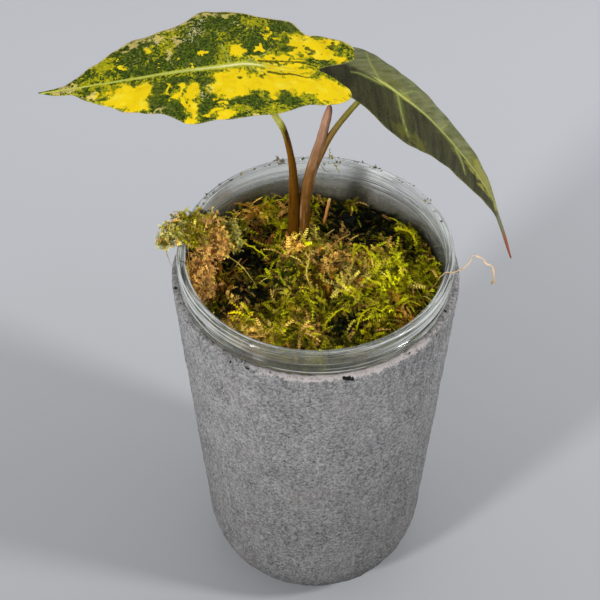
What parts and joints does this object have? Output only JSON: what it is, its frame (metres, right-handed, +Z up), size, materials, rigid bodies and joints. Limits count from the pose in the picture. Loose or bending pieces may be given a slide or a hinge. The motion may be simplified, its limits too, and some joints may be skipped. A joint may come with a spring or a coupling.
{
  "type": "potted variegated kris plant",
  "caption": "Young arrow-leaved plant with a yellow-variegated and a dark green leaf, rooted in moss in a clear cup nested in a rounded grey stone-textured pot.",
  "frame": {"origin": "centre of the pot's flat foot, on the surface that the pot stands on", "axes": "+Z up along the pot's axis; -Y towards the picture's viewer; the variegated leaf points to -X and the green leaf to +X"},
  "size_m": [0.153, 0.0988, 0.2355],
  "materials": {
    "stone": "rough unglazed grey stone texture with fine speckle",
    "clear_plastic": "clear, faintly green-grey, glossy",
    "moss": "matt, feathery, olive to lime with dark hollows",
    "dry_moss": "matt, feathery, tan to orange-brown",
    "bark": "matt, pale cream",
    "root": "matt, fibrous brown",
    "brown_stem": "satin, brown with dark streaks, green near the leaf",
    "olive_stem": "satin, olive green turning brown at the foot",
    "sheath": "papery, pinkish brown with fine ribs",
    "variegated_leaf": "glossy, deep green marbled with yellow, lime and cream",
    "green_leaf": "glossy, dark olive with lime veins"
  },
  "bodies": {
    "root": {"outer_pot": "stone", "clear_cup": "clear_plastic", "moss_bed": "moss", "moss_overhang": "moss", "dry_moss_clump": "dry_moss", "pale_moss_sprig": "moss", "dry_moss_strand": "dry_moss", "bark_scrap": "bark", "rootstock": "root", "stem_variegated_leaf": "brown_stem", "stem_green_leaf": "olive_stem", "leaf_sheath": "sheath", "dry_stub": "dry_moss", "blade_variegated": "variegated_leaf", "blade_green": "green_leaf"}
  },
  "joints": []
}
